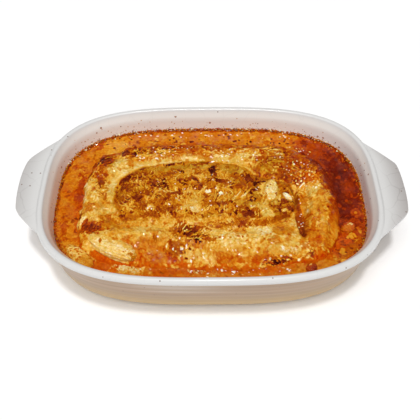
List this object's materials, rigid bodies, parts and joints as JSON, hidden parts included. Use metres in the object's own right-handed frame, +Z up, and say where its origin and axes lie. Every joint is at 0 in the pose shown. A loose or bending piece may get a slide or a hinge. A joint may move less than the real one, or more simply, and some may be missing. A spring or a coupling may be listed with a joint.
{
  "type": "baked pasta in a dish",
  "caption": "Oval-cornered two-handled stoneware baking dish filled with a stack of lasagne sheets under browned cheese, standing in creamy tomato sauce.",
  "frame": {"origin": "centre of the dish's flat foot, on the surface it stands on", "axes": "+X along the two handles, +Y towards the back long side, +Z up"},
  "size_m": [0.3585, 0.2168, 0.062],
  "materials": {
    "stoneware": "pale grey-cream crazed glaze over tan stoneware, glossy",
    "tomato_cream_sauce": "orange tomato and cream sauce with an oily shine",
    "baked_cheese": "baked cheese sauce, golden with browned patches, moist",
    "browned_cheese": "blistered browned cheese, dark brown spots in a golden net",
    "pale_cheese": "pale melted cheese sauce, moist",
    "onion": "soft cooked onion, translucent pale cream",
    "tomato": "cooked tomato, dark red and glossy"
  },
  "bodies": {
    "root": {"dish": "stoneware", "sauce": "tomato_cream_sauce", "sheet_stack": "baked_cheese", "top_sheet": "browned_cheese", "sheet_corner": "pale_cheese", "cheese_island": "pale_cheese", "cheese_lump": "pale_cheese", "onion_sliver": "onion", "tomato_piece_side": "tomato", "tomato_piece_front": "tomato"}
  },
  "joints": []
}
